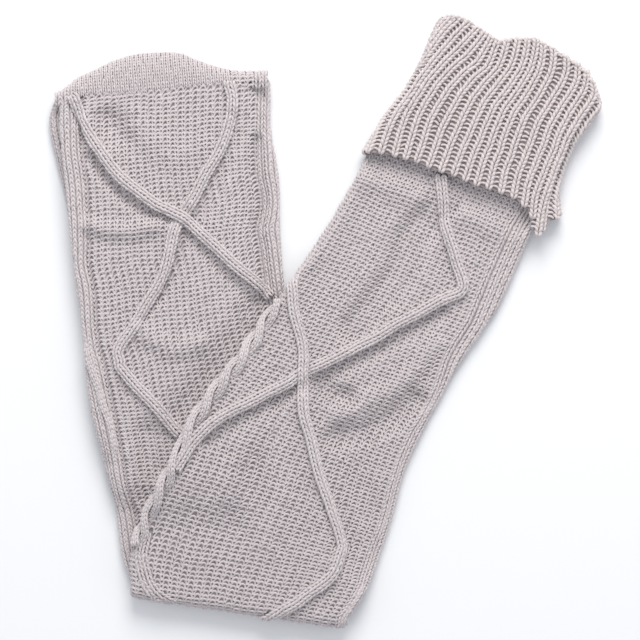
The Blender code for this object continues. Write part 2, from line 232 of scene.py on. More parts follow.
# The rows of CUFF over which the shape of its hem fades out, and the shape of its top fold comes in
CUFF_HEM_FROM_TO = (0.0, 2.0)
CUFF_TOP_FROM_TO = (1.5, 5.0)

# How far the cuff's top fold and its hem stand past the straight line between their ends
# share_across, top_out, hem_out
CUFF_EDGE = (
    (0.0, 0.0, 0.0),
    (0.06, 4.4, -1.5),
    (0.14, 5.5, -2.8),
    (0.26, 3.5, -3.4),
    (0.36, 1.8, -2.2),
    (0.44, 6.9, -2.6),
    (0.55, 11.3, -1.0),
    (0.65, 10.7, -1.4),
    (0.76, 9.4, -0.5),
    (0.85, 7.8, 4.0),
    (0.88, 6.9, 8.0),
    (0.905, 6.0, 15.0),
    (0.935, 4.0, 16.0),
    (0.95, 3.2, 5.5),
    (1.0, 0.0, 2.0),
)

# Lines sunk between the cuff's raised wales, each by its share of the way across the cuff, from the hem
# up to the top fold. Line k lies between raised wales k and k + 1
# share_up, line_0, line_1, line_2, line_3, line_4, line_5, line_7, line_10, line_12, line_14, line_15
CUFF_LINES = (
    (0.00, 0.056, 0.122, 0.182, 0.230, 0.290, 0.353, 0.476, 0.652, 0.780, 0.900, 0.955),
    (0.12, 0.034, 0.095, 0.157, 0.217, 0.283, 0.351, 0.481, 0.655, 0.790, 0.908, 0.960),
    (0.24, 0.027, 0.074, 0.132, 0.196, 0.262, 0.348, 0.485, 0.664, 0.806, 0.925, 0.970),
    (0.36, 0.025, 0.068, 0.118, 0.178, 0.258, 0.334, 0.473, 0.645, 0.806, 0.928, 0.972),
    (0.48, 0.024, 0.071, 0.119, 0.184, 0.257, 0.328, 0.462, 0.632, 0.786, 0.910, 0.965),
    (0.60, 0.042, 0.099, 0.149, 0.212, 0.282, 0.341, 0.480, 0.640, 0.782, 0.897, 0.960),
    (0.72, 0.068, 0.131, 0.188, 0.254, 0.324, 0.374, 0.492, 0.636, 0.784, 0.895, 0.960),
    (0.84, 0.092, 0.160, 0.218, 0.275, 0.326, 0.376, 0.488, 0.629, 0.788, 0.900, 0.968),
    (1.00, 0.140, 0.200, 0.257, 0.299, 0.340, 0.380, 0.488, 0.623, 0.794, 0.920, 0.985),
)
CUFF_LINE_NUMBERS = (0, 1, 2, 3, 4, 5, 7, 10, 12, 14, 15)
CUFF_LAST_WALE = 16
CUFF_WALES_BEHIND = 3
CUFF_WALES_ROUND = 32
CUFF_WALE_SHARE = 0.062
CUFF_RAISED_WALE = 4.1
CUFF_RAISED_YARN = 0.88
CUFF_RAISED_DEEP = 2.5
CUFF_BUMP_WIDE = 3.0
CUFF_BUMP_YARN = 0.62
CUFF_SUNK = 1.85
CUFF_SLOT_WALE = 15.25
CUFF_SLOT_SUNK = 1.0
CUFF_SLOT_ROWS = 24

# The cuff's rows: up its face to the top fold, then over the fold and into the mouth
CUFF_TOP_ROW = 60
CUFF_LAST_ROW = 67
CUFF_BEHIND_LAST_ROW = 65
CUFF_LIP_FIRST_ROW = 46
CUFF_LIP_WALE_STEP = 0.75
CUFF_LIP_ANGLES = (0.25, 2.2)
CUFF_LIP_ROWS = 9
CUFF_LIP_REACH = 1.2
CUFF_LIP_INSET = 2.2
CUFF_MOUTH_HALF = 1.0
# row, shell_depth
CUFF_SHELL = ((57, 2.6), (63, 1.6), (69, 0.4))

# The heel pouch past the lower leg's end
# share_across, out
HEEL = (
    (0.0, 2.6),
    (0.05, 5.0),
    (0.1, 8.8),
    (0.2, 13.5),
    (0.3, 17.8),
    (0.4, 20.0),
    (0.5, 20.0),
    (0.6, 18.5),
    (0.7, 12.6),
    (0.8, 7.9),
    (0.9, 6.0),
    (1.0, 5.5),
)
# Where the heel's fine knit starts on the leg, seen from above, as (x, y)
HEEL_START = (
    (-146.0, 128.0), (-137.8, 128.0), (-118.5, 124.6), (-104.8, 125.7), (-85.5, 127.3), (-69.0, 131.2),
    (-52.5, 135.0),
)

# The travelling ribs' middle lines, seen from above, as (x, y)
UPPER_RIBS = (
    ((64.1, 82.0), (64.1, 78.1), (64.4, 67.9), (66.3, 52.5), (71.5, 37.1), (75.4, 24.5), (74.3, 17.9),
     (63.0, 12.7), (33.3, -4.1), (3.6, -19.3), (-12.4, -27.8), (-52.0, -48.4), (-69.0, -60.2),
     (-81.7, -78.9)),
    ((-18.4, 26.7), (-17.3, 9.1), (-12.4, -17.0), (-11.6, -48.7), (-3.0, -83.3), (2.5, -98.7), (8.3, -119.6),
     (8.5, -125.7), (3.0, -138.9), (-13.5, -151.3), (-20.0, -155.0)),
)
LOWER_RIBS = (
    ((-139.6, 129.5), (-135.0, 115.8), (-124.3, 95.4), (-114.7, 82.5), (-96.0, 67.9), (-84.4, 61.3),
     (-71.2, 52.0), (-30.0, 14.6)),
    ((-52.5, 133.0), (-51.0, 121.0), (-55.8, 100.9), (-72.3, 69.0), (-83.0, 52.0), (-87.7, 29.4),
     (-101.2, 5.8), (-112.5, -12.9), (-112.5, -20.6), (-109.4, -27.8), (-79.5, -60.8)),
)

# Grooves between the plain columns at the edges, seen from above, as (x, y)
UPPER_RIGHT_GROOVE = (
    (112.5, 70.1), (107.5, 60.2), (102.6, 51.4), (92.7, 29.4), (83.6, 7.4), (80.0, -0.6), (72.9, -11.8),
    (67.9, -21.7), (63.5, -34.9), (58.0, -46.5), (53.1, -55.6), (49.2, -61.9), (43.7, -74.5), (38.8, -89.4),
    (35.5, -102.0), (32.7, -112.5), (29.4, -120.7), (25.0, -133.7), (21.7, -143.8),
)
LOWER_LEFT_GROOVE = (
    (-134.5, 126.0), (-134.5, 100.9), (-133.7, 89.9), (-131.7, 73.4), (-130.6, 45.9), (-130.6, 32.2),
    (-128.4, 22.8), (-127.3, 14.0), (-126.8, 0.3), (-125.1, -12.9), (-122.4, -21.7), (-120.7, -30.0),
    (-113.6, -64.1), (-110.3, -86.1), (-107.5, -97.1), (-104.8, -105.9), (-102.0, -125.0),
)
LOWER_RIGHT_GROOVE = (
    (-37.1, 133.0), (-37.1, 128.4), (-37.7, 100.9), (-37.1, 82.8), (-35.5, 73.4), (-34.7, 66.3),
    (-36.0, 56.9), (-37.1, 51.4), (-35.5, 41.5), (-33.8, 27.8), (-30.5, 5.0),
)

# The middles of the rope's lobes along the upper leg's left edge, seen from above, as (x, y)
ROPE_LOBES = (
    (-25.5, 12.5), (-35.5, -2.5), (-44.8, -17.3), (-54.2, -29.0), (-64.1, -42.6), (-74.0, -57.0),
    (-82.8, -76.0), (-90.5, -92.8), (-98.7, -108.1), (-103.5, -122.0),
)
# The plain columns that go on below the rope's end, and the lower leg's edge columns where they cross
BELOW_ROPE = (
    ((-100.9, -115.8), (-103.1, -126.2), (-102.0, -134.5), (-98.7, -144.9), (-92.7, -152.1), (-85.5, -156.5)),
    ((-97.0, -115.0), (-99.2, -126.0), (-98.2, -133.8), (-95.2, -143.0), (-89.8, -149.4), (-83.0, -153.2)),
)
EDGE_CROSSINGS = (
    ((-132.8, -4.0), (-131.5, -16.0), (-127.6, -28.0), (-123.0, -40.0), (-121.8, -52.0)),
    ((-125.4, -28.0), (-123.0, -42.0), (-118.4, -54.0), (-115.8, -66.0), (-114.0, -78.0)),
)

# Soft troughs and ridges in the cloth, seen from above. A deeper one would go through to the layer below
DEEPEST_CREASE = 3.8
# height, half_width, line as (x, y)
UPPER_CREASES = (
    (-4.2, 14.0, ((22.0, 90.5), (42.5, 86.0), (54.5, 80.0), (68.5, 74.5), (83.0, 69.5), (96.0, 64.0),
                  (107.0, 58.0))),
    (-1.2, 4.0, ((62.0, 80.0), (59.5, 72.0), (58.5, 62.0))),
    (-1.6, 3.5, ((68.5, 80.0), (68.5, 73.0), (70.5, 65.0))),
    (-5.0, 14.0, ((64.0, 66.0), (46.0, 46.0), (41.0, 28.0), (26.0, 9.0), (16.0, -2.0))),
    (-1.2, 9.0, ((61.0, 60.0), (64.0, 44.0), (67.0, 32.0))),
    (-1.0, 3.6, UPPER_RIGHT_GROOVE),
    (-2.2, 7.0, ((64.0, 6.0), (36.0, -10.0), (8.0, -25.0), (-20.0, -38.5), (-50.0, -54.5), (-64.0, -64.0))),
    (-1.8, 7.0, ((-5.0, -40.0), (-4.0, -60.0), (4.0, -84.0), (11.0, -104.0), (15.0, -122.0))),
    (-3.6, 9.0, ((-1.0, -35.0), (5.0, -39.0), (12.0, -41.0))),
    (2.6, 9.0, ((6.0, -49.0), (18.0, -44.0), (34.0, -37.0), (50.0, -24.0), (60.0, -12.0))),
    (-4.0, 10.0, ((5.0, -63.0), (22.0, -60.0), (38.0, -52.0), (50.0, -42.0))),
    (1.6, 12.0, ((20.0, 80.0), (2.0, 50.0), (-8.0, 36.0))),
    (1.4, 14.0, ((-50.0, -80.0), (-62.0, -104.0), (-70.0, -128.0))),
    (-1.6, 12.0, ((20.0, -70.0), (18.0, -84.0), (24.0, -104.0))),
    (1.8, 13.0, ((-92.0, -102.0), (-70.0, -101.0), (-48.0, -100.0))),
    (1.2, 12.0, ((-34.0, -120.0), (-24.0, -96.0), (-30.0, -70.0))),
)
LOWER_CREASES = (
    (3.2, 8.0, ((-130.0, 54.0), (-117.0, 51.0), (-104.0, 51.0), (-92.0, 55.0))),
    (-3.6, 12.0, ((-119.0, 112.0), (-111.0, 102.0))),
    (-1.4, 6.0, ((-129.5, 92.0), (-119.5, 78.0), (-106.0, 65.5), (-90.0, 55.5))),
    (-1.3, 6.0, ((-47.5, 104.0), (-58.0, 78.0), (-68.0, 62.0), (-76.0, 50.0), (-80.0, 36.0), (-90.0, 14.0))),
    (-2.0, 3.2, ((-141.6, 126.8), (-139.4, 120.7), (-135.5, 111.0), (-132.5, 104.0))),
    (-2.0, 3.6, LOWER_LEFT_GROOVE),
    (-3.2, 5.5, LOWER_RIGHT_GROOVE[2:]),
    (-1.4, 4.2, ((-129.0, 92.0), (-122.4, 82.4), (-114.8, 72.9), (-105.3, 65.3), (-96.8, 61.6),
                 (-87.0, 57.5))),
    (-1.4, 4.2, ((-77.8, 50.3), (-70.2, 42.6), (-60.8, 32.2), (-51.3, 22.8), (-41.9, 14.2), (-33.3, 6.7))),
    (-1.2, 4.0, ((-49.4, 113.7), (-53.2, 100.4), (-58.0, 88.1), (-63.6, 77.7), (-68.4, 69.1))),
    (-1.2, 4.0, ((-79.8, 44.5), (-83.5, 31.3), (-88.3, 20.8), (-94.9, 10.4), (-101.5, 1.9))),
    (-5.0, 20.0, ((-34.0, 4.0), (-52.0, -22.0), (-60.5, -32.0), (-69.0, -42.0), (-78.5, -54.0),
                  (-86.0, -72.0))),
    (-3.5, 11.0, ((-99.0, -60.0), (-97.0, -76.0), (-99.0, -92.0))),
    (2.8, 10.0, ((-98.0, -6.0), (-84.0, -14.0), (-70.0, -10.0))),
    (1.2, 12.0, ((-100.0, 104.0), (-84.0, 92.0), (-72.0, 96.0))),
    (-1.2, 11.0, ((-62.0, 40.0), (-52.0, 20.0), (-46.0, 6.0))),
)


def between_rows(rows, at):
    """The rows' values at the row numbers at, which may be fractions, on a smooth curve through them."""
    rows = np.asarray(rows, float)
    at = np.clip(np.asarray(at, float), 0, len(rows) - 1)
    first = np.minimum(at.astype(int), len(rows) - 2)
    f = (at - first)[..., None]
    slope = np.gradient(rows, axis=0)
    a, b = rows[first], rows[first + 1]
    return (
        a * (2 * f**3 - 3 * f**2 + 1)
        + slope[first] * (f**3 - 2 * f**2 + f)
        + b * (3 * f**2 - 2 * f**3)
        + slope[first + 1] * (f**3 - f**2)
    )


def run_along(points):
    """How far each point lies along the line through them all."""
    return np.concatenate([[0], np.cumsum(np.linalg.norm(np.diff(points, axis=0), axis=1))])


def values_at(at, marks, values):
    """The rows' values at places along them, where marks are the rows' own places."""
    return np.stack([np.interp(at, marks, column) for column in np.transpose(values)], axis=-1)


def stations(rows, step):
    """(left points, right points) of sections step apart along a strip's middle line."""
    fine = between_rows(rows, np.linspace(0, len(rows) - 1, 40 * len(rows)))
    run = run_along((fine[:, LEFT] + fine[:, RIGHT]) / 2)
    at = np.arange(0, run[-1], step)
    at = np.append(at[:-1] if run[-1] - at[-1] < step / 2 else at, run[-1])
    chosen = values_at(at, run, fine)
    return chosen[:, LEFT], chosen[:, RIGHT]


def smooth_step(low, high, value):
    """0 below low, 1 above high, and a soft curve between."""
    t = np.clip((value - low) / (high - low), 0, 1)
    return t * t * (3 - 2 * t)


def outside(rows, x, y):
    """How far a place lies past the nearer side edge of a strip that runs along Y. It is negative inside."""
    fine = between_rows(rows, np.linspace(0, len(rows) - 1, 20 * len(rows)))
    left = fine[np.argsort(fine[:, 1])]
    right = fine[np.argsort(fine[:, 3])]
    left_x = np.interp(y, left[:, 1], left[:, 0])
    right_x = np.interp(y, right[:, 3], right[:, 2])
    return np.maximum(left_x - x, x - right_x)


def drape(past_edge):
    """1 on a layer, 0 well past its edge."""
    return 1 - smooth_step(-DRAPE_INSET, DRAPE_RUN, past_edge)


def rise(thick, share):
    """How high a layer lies that is held up by one this thick, with some slack where it comes down."""
    return (thick + GAP) * share + 4 * DRAPE_SLACK * share * (1 - share)


def lower_base(x, y):
    """The height of the lower leg's underside, which lies on the foot and comes down past its edges."""
    on_foot = drape(outside(FOOT + TOE[1:3], x, y)) * drape(TOE_END_Y - y)
    return rise(FOOT_THICK, on_foot)


def past_hem(x, y):
    """How far a place lies up the arm from the cuff's hem."""
    return (x - HEM_MIDDLE[0]) * UP_ARM[0] + (y - HEM_MIDDLE[1]) * UP_ARM[1]


def upper_base(x, y):
    """The height of the upper leg's underside: on the lower leg, on the table, then inside the cuff."""
    on_leg = drape(outside(LOWER_LEG, x, y))
    over = lower_base(x, y) * on_leg + rise(TUBE, on_leg)
    in_cuff = smooth_step(*RISE_INTO_CUFF, past_hem(x, y))
    return np.maximum(over, (CUFF_WALL + GAP) * in_cuff)


def level(x, y):
    """The height of the table, or the relief of plain cloth."""
    return np.zeros(np.shape(x))


def distance_to(line, x, y):
    """How far each place lies from a line of points."""
    line = np.asarray(line, float)
    place = np.stack([x, y], axis=-1)
    nearest = np.full(np.shape(x), np.inf)
    for a, b in zip(line[:-1], line[1:], strict=True):
        d = b - a
        t = np.clip(((place - a) @ d) / (d @ d), 0, 1)
        nearest = np.minimum(nearest, np.linalg.norm(place - a - t[..., None] * d, axis=-1))
    return nearest


def ridge(far, half):
    """A soft ridge: 1 on its middle line, 0 from half its width on."""
    return 0.5 + 0.5 * np.cos(math.pi * np.clip(far / half, 0, 1))


def along_lines(lines, half, x, y):
    """A soft ridge along each of several lines."""
    return np.max([ridge(distance_to(line, x, y), half) for line in lines], axis=0)


def unit(v):
    """Vectors of length one the same way."""
    return v / np.maximum(np.linalg.norm(v, axis=-1, keepdims=True), 1e-9)


def creases(table, x, y):
    """How far the soft troughs and ridges of a table raise each place. No trough goes through the cloth."""
    raised = sum(height * ridge(distance_to(line, x, y), half) for height, half, line in table)
    return np.maximum(raised, -DEEPEST_CREASE)


def upper_relief(x, y):
    """How much the cloth itself rises and sinks on the upper leg."""
    return RIB_SWELL * along_lines(UPPER_RIBS, RIB_SWELL_HALF, x, y) + creases(UPPER_CREASES, x, y)


def lower_relief(x, y):
    """How much the cloth itself rises and sinks on the lower leg."""
    return RIB_SWELL * along_lines(LOWER_RIBS, RIB_SWELL_HALF, x, y) + creases(LOWER_CREASES, x, y)


class Cloth:
    """A grid of points on the cloth's outer face: rows along it, and columns round it or across it."""

    def __init__(self, points, wraps=True):
        self.points = points
        self.wraps = wraps
        self.rows, self.columns = points.shape[:2]
        along = np.gradient(points, axis=0)
        if wraps:
            across = np.roll(points, -1, axis=1) - np.roll(points, 1, axis=1)
        else:
            across = np.gradient(points, axis=1)
        normals = unit(np.cross(along, across))
        quarter = self.columns // 4
        if normals[:self.rows // 5, quarter - 2:quarter + 2, 2].mean() < 0:
            normals = -normals
        self.normals = normals
        closing = [points[:, :1]] if wraps else []
        steps = np.linalg.norm(np.diff(np.concatenate([points, *closing], axis=1), axis=1), axis=2)
        self.round = steps.sum(axis=1)
        top = points[:, :self.columns // 2] if wraps else points
        self.run = np.concatenate([[0], np.cumsum(np.linalg.norm(np.diff(top, axis=0), axis=2).mean(axis=1))])

    def run_at(self, row):
        """How far along the cloth a row lies."""
        return np.interp(row, np.arange(self.rows), self.run)

    def row_at(self, run):
        """The row that lies so far along the cloth."""
        return np.interp(run, self.run, np.arange(self.rows))

    def mix(self, grid, row, column):
        """A grid's value at places given as fractions of rows and columns."""
        row = np.clip(row, 0, self.rows - 1.001)
        i = row.astype(int)
        f = (row - i)[..., None]
        if self.wraps:
            column = np.mod(column, self.columns)
            j = np.minimum(column.astype(int), self.columns - 1)
            after = (j + 1) % self.columns
        else:
            column = np.clip(column, 0, self.columns - 1.001)
            j = column.astype(int)
            after = j + 1
        g = (column - j)[..., None]
        low = grid[i, j] * (1 - g) + grid[i, after] * g
        high = grid[i + 1, j] * (1 - g) + grid[i + 1, after] * g
        return low * (1 - f) + high * f

    def at(self, row, column):
        """(points, normals) at places given as fractions of rows and columns."""
        return self.mix(self.points, row, column), unit(self.mix(self.normals, row, column))

    def length_round(self, row):
        """How long the way round, or across, is at a row."""
        return np.interp(row, np.arange(self.rows), self.round)

    def locate(self, x, y):
        """(row, column) of the place on the upper face that is seen from above at x, y."""
        probe = 0.3
        half = self.columns // 2 if self.wraps else self.columns
        top = self.points[:, :half, :2]
        gap = (top[..., 0] - x) ** 2 + (top[..., 1] - y) ** 2
        i, j = np.unravel_index(np.argmin(gap), gap.shape)
        place = np.array([float(i), float(j)])
        for _ in range(6):
            here = self.mix(self.points, place[0:1], place[1:2])[0, :2]
            d_row = self.mix(self.points, place[0:1] + probe, place[1:2])[0, :2] - here
            d_column = self.mix(self.points, place[0:1], place[1:2] + probe)[0, :2] - here
            step = np.stack([d_row, d_column], axis=1) / probe
            if abs(np.linalg.det(step)) < 1e-3:
                break
            move = np.linalg.solve(step, np.array([x, y]) - here)
            place = place + np.clip(move, -1.5, 1.5)
            place[0] = np.clip(place[0], 0, self.rows - 1.01)
        return place


def profile(place, width, edge=EDGE_ROUND):
    """The share of a pressed tube's half thickness at a place across it."""
    near = np.minimum(place, width - place)
    inner = 1 - np.clip(near / edge, 0, 1)
    return np.sqrt(np.maximum(1 - inner * inner, 0))


def evenly_over(fine, high):
    """(places across, heights) evenly spaced over the top face that fine and high draw."""
    run = run_along(np.stack([fine, high], axis=1))
    at = np.linspace(0, run[-1], ROUND_POINTS // 2 + 1)
    return np.interp(at, run, fine), np.interp(at, run, high)


def round_tube(top, under):
    """Values along a tube's top face, then back along its underside. Its two edges aren't told twice."""
    return np.concatenate([top, under[-2:0:-1]])


def ring_round(width, half):
    """(places across, sides, shares of the half thickness) evenly spaced round a pressed tube."""
    fine = np.concatenate([
        EDGE_ROUND * (1 - np.cos(np.linspace(0, math.pi / 2, 60))),
        np.linspace(EDGE_ROUND, width - EDGE_ROUND, 80)[1:-1],
        width - EDGE_ROUND * (1 - np.cos(np.linspace(math.pi / 2, 0, 60))),
    ])
    place, high = evenly_over(fine, half * profile(fine, width))
    share = high / half
    side = np.ones(len(place))
    return round_tube(place, place), round_tube(side, -side), round_tube(share, share)


def tube_rings(rows, base, relief, half, step=STEP):
    """Rings of a flattened tube that lies on base."""
    left, right = stations(rows, step)
    rings = []
    for a, b in zip(left, right, strict=True):
        width = float(np.hypot(*(b - a)))
        place, side, share = ring_round(width, half)
        x = a[0] + (b[0] - a[0]) * place / width
        y = a[1] + (b[1] - a[1]) * place / width
        raised = np.where(side > 0, relief(x, y), 0) * share
        rings.append(np.stack([x, y, base(x, y) + half * (1 + side * share) + raised], axis=1))
    return np.array(rings)


def ways(section):
    """(the way across a section, the way ahead at right angles to it), seen from above."""
    across = unit(section[RIGHT] - section[LEFT])
    return across, np.array([-across[1], across[0]])


def upper_cloth():
    """The upper leg from inside the cuff to the front fold and round it."""
    rings = tube_rings(UPPER_LEG, upper_base, upper_relief, WALL)
    fold = np.array(UPPER_LEG[-1])
    outward = -ways(fold)[1]
    to_fold = (fold[LEFT] - rings[..., :2]) @ outward
    near = 1 - smooth_step(0.0, FOLD_LEVEL, to_fold)
    rings[..., 2] += near * (TUBE + GAP - upper_base(rings[..., 0], rings[..., 1]))
    reach = np.minimum(rings[-1, :, 2] - FOLD_HEIGHT, FOLD_HEIGHT)
    turned = []
    for angle in np.arange(1, FOLD_STEPS + 1) * math.pi / FOLD_STEPS:
        ring = rings[-1].copy()
        ring[:, :2] += outward * (reach * math.sin(angle))[:, None]
        ring[:, 2] = FOLD_HEIGHT + reach * math.cos(angle)
        turned.append(ring)
    return Cloth(np.concatenate([rings, np.array(turned)]))


def lower_cloth():
    """The lower leg from the front fold back to the heel."""
    rows = np.array(LOWER_LEG)
    rows[0, [1, 3]] += GAP
    return Cloth(tube_rings(rows, lower_base, lower_relief, WALL))


def heel_cloth():
    """The heel pouch: rows run over it from the top to the underside, and columns from side to side."""
    line = np.array(HEEL_LINE)
    a, b = line[LEFT], line[RIGHT]
    outward = ways(line)[1]
    width = np.hypot(*(b - a))
    shares, outs = between_rows(HEEL, np.linspace(0, len(HEEL) - 1, 200)).T
    half = (FOOT_THICK + GAP + TUBE) / 2
    angles = np.linspace(math.pi / 2, -math.pi / 2, HEEL_ROWS)
    ends_round = np.abs(np.cos(angles)) ** HEEL_FULLNESS
    ends_round[[0, -1]] = 0
    columns = []
    for share in np.linspace(0, 1, HEEL_COLUMNS):
        full = HEEL_END_HEIGHT + (1 - HEEL_END_HEIGHT) * profile(share * width, width)
        reach = GAP + np.interp(share, shares, outs) * ends_round
        x, y = (a + (b - a) * share)[:, None] + outward[:, None] * reach
        columns.append(np.stack([x, y, half * (1 + full * np.sin(angles))], axis=1))
    return Cloth(np.array(columns).transpose(1, 0, 2), wraps=False)


def foot_cloth():
    """The foot under the lower leg, and the toe."""
    rows = np.array(FOOT + TOE[1:])
    return Cloth(tube_rings(rows, level, level, FOOT_THICK / 2, step=2 * STEP))


def cuff_row(chord, up_arm, half, top_shift, hem_shift):
    """One ring of the cuff's outer face, and its places' shares of the way across."""
    a, b = chord[LEFT], chord[RIGHT]
    width = np.hypot(*(b - a))
    edge = half + 1
    fine = np.concatenate([
        np.linspace(0, edge, 40),
        np.linspace(edge, width - edge, 80)[1:-1],
        np.linspace(width - edge, width, 40),
    ])
    place, high = evenly_over(fine, half * profile(fine, width, edge))
    high = round_tube(high, -high)
    on_top = round_tube(np.ones(len(place)), np.zeros(len(place)))
    share = round_tube(place, place) / width
    shares, top_out, hem_out = np.array(CUFF_EDGE).T
    shift = top_shift * np.interp(share, shares, top_out)
    shift = shift - hem_shift * np.interp(share, shares, hem_out) * on_top
    x, y = (a + (b - a) * share[:, None] + up_arm * shift[:, None]).T
    return np.stack([x, y, CUFF_THICK / 2 + high], axis=1), share


def cuff_cloth():
    """(the cuff's face from the hem over the top fold into the mouth, its places' shares across)."""
    rows = np.array(CUFF)
    top = rows[-1]
    across, up_arm = ways(top)
    half = CUFF_THICK / 2
    rings = []
    for at in np.linspace(0, len(CUFF) - 1, CUFF_TOP_ROW + 1):
        top_shift = smooth_step(*CUFF_TOP_FROM_TO, at)
        hem_shift = 1 - smooth_step(*CUFF_HEM_FROM_TO, at)
        rings.append(cuff_row(between_rows(rows, at), up_arm, half, top_shift, hem_shift))
    for angle in np.linspace(*CUFF_LIP_ANGLES, CUFF_LIP_ROWS):
        turned = 1 - math.cos(angle)
        thick = half - (half - CUFF_MOUTH_HALF) * turned / (1 - math.cos(CUFF_LIP_ANGLES[1]))
        chord = top + np.tile(up_arm * CUFF_LIP_REACH * (math.sin(angle) - 0.8 * max(angle - 1.57, 0)), 2)
        chord += np.concatenate([across, -across]) * CUFF_LIP_INSET * turned
        rings.append(cuff_row(chord, up_arm, thick, 1.0, 0.0))
    points, shares = zip(*rings, strict=True)
    return Cloth(np.array(points)), np.array(shares)


class Guide:
    """A line on the cloth that knit columns follow: places, the way across and the way out."""

    def __init__(self, points, across, out, marks=None, bend=1e6, high=0.0):
        self.points = points
        self.across = across
        self.out = out
        self.marks = run_along(points) if marks is None else marks
        self.bend = bend
        self.high = high

    def at(self, mark, aside, lift):
        """(points, normals) at marks along the line, aside from it and lifted off it."""
        place, across, out = (values_at(mark, self.marks, v) for v in (self.points, self.across, self.out))
        across, out = unit(across), unit(out)
        high = np.interp(mark, self.marks, np.broadcast_to(self.high, self.marks.shape))
        turn = aside / self.bend
        normal = across * np.sin(turn)[..., None] + out * np.cos(turn)[..., None]
        reach = self.bend + lift
        place = place + normal * reach[..., None] + out * (high - self.bend)[..., None]
        return place, normal


def guide_on(cloth, places, marks=None, wander=0.0, **options):
    """A guide along (row, column) places on the cloth, evenly filled in. It may wander a little sideways."""
    places = np.asarray(places, float)
    coarse = cloth.at(places[:, 0], places[:, 1])[0]
    run = run_along(coarse)
    count = max(8, int(run[-1] / GUIDE_STEP))
    even = np.linspace(0, run[-1], count)
    fine = values_at(even, run, places)
    points, normals = cloth.at(fine[:, 0], fine[:, 1])
    along = unit(np.gradient(points, axis=0))
    across = unit(np.cross(along, normals))
    sway = wander * (np.sin(even / 8.7 + places[0, 1]) + 0.6 * np.sin(even / 4.3 + 1.7))
    points = points + across * sway[:, None]
    if marks is not None:
        marks = np.interp(even, run, marks)
    return Guide(points, across, normals, marks, **options)


def smooth_line(line, step=1.5):
    """An even, smooth line through the given points."""
    line = np.asarray(line, float)
    fine = between_rows(line, np.linspace(0, len(line) - 1, 30 * len(line)))
    run = run_along(fine)
    return values_at(np.linspace(0, run[-1], max(4, int(run[-1] / step))), run, fine)


def places_on(cloth, line):
    """(row, column) places on the cloth of a line seen from above."""
    return np.array([cloth.locate(x, y) for x, y in smooth_line(line)])


